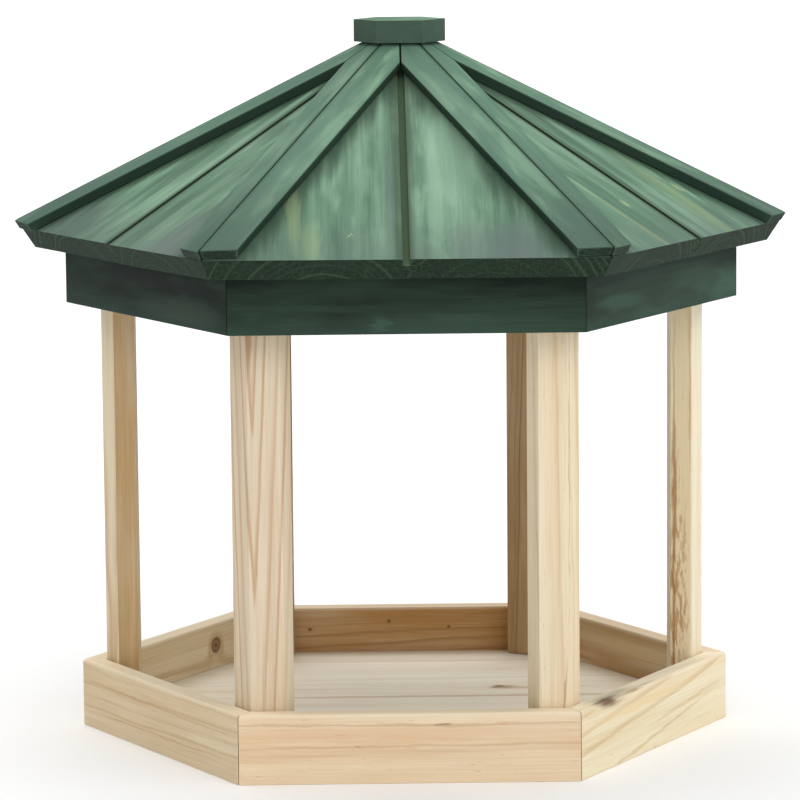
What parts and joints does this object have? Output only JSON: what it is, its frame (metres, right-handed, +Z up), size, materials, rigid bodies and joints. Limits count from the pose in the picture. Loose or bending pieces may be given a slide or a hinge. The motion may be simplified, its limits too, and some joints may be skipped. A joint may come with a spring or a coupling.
{
  "type": "bird feeder",
  "caption": "Free-standing hexagonal bird feeder of fir: a shallow rimmed seed tray under a boarded, green-stained pitched roof carried on corner posts.",
  "frame": {"origin": "on the ground, under the centre of the tray and the roof", "axes": "+Z up; +X to the right, through two opposite corners of the hexagon; -Y to the front, square to the front face"},
  "size_m": [0.3298, 0.2858, 0.305],
  "materials": {
    "bare_fir": "planed, unfinished",
    "green_roof": "stained green, grain showing",
    "green_fascia": "stained dark green",
    "zinc_screw": "zinc plated"
  },
  "bodies": {
    "root": {"cap": "green_roof", "cap_screw": "zinc_screw", "fascia_board_back": "green_fascia", "fascia_board_back_left": "green_fascia", "fascia_board_back_right": "green_fascia", "fascia_board_front": "green_fascia", "fascia_board_front_left": "green_fascia", "fascia_board_front_right": "green_fascia", "fascia_screw_back_left": "zinc_screw", "fascia_screw_back_right": "zinc_screw", "fascia_screw_front_left": "zinc_screw", "fascia_screw_front_right": "zinc_screw", "fascia_screw_left": "zinc_screw", "fascia_screw_right": "zinc_screw", "floor_board_back": "bare_fir", "floor_board_front": "bare_fir", "floor_board_middle": "bare_fir", "floor_screw_back_left": "zinc_screw", "floor_screw_back_right": "zinc_screw", "floor_screw_front_left": "zinc_screw", "floor_screw_front_right": "zinc_screw", "floor_screw_left": "zinc_screw", "floor_screw_right": "zinc_screw", "hip_batten_back_face_left": "green_roof", "hip_batten_back_face_right": "green_roof", "hip_batten_back_left_face_left": "green_roof", "hip_batten_back_left_face_right": "green_roof", "hip_batten_back_right_face_left": "green_roof", "hip_batten_back_right_face_right": "green_roof", "hip_batten_front_face_left": "green_roof", "hip_batten_front_face_right": "green_roof", "hip_batten_front_left_face_left": "green_roof", "hip_batten_front_left_face_right": "green_roof", "hip_batten_front_right_face_left": "green_roof", "hip_batten_front_right_face_right": "green_roof", "post_back_left": "bare_fir", "post_back_right": "bare_fir", "post_front_left": "bare_fir", "post_front_right": "bare_fir", "post_left": "bare_fir", "post_right": "bare_fir", "rim_board_back": "bare_fir", "rim_board_back_left": "bare_fir", "rim_board_back_right": "bare_fir", "rim_board_front": "bare_fir", "rim_board_front_left": "bare_fir", "rim_board_front_right": "bare_fir", "roof_board_back_face_left": "green_roof", "roof_board_back_face_right": "green_roof", "roof_board_back_left_face_left": "green_roof", "roof_board_back_left_face_right": "green_roof", "roof_board_back_right_face_left": "green_roof", "roof_board_back_right_face_right": "green_roof", "roof_board_front_face_left": "green_roof", "roof_board_front_face_right": "green_roof", "roof_board_front_left_face_left": "green_roof", "roof_board_front_left_face_right": "green_roof", "roof_board_front_right_face_left": "green_roof", "roof_board_front_right_face_right": "green_roof"}
  },
  "joints": []
}
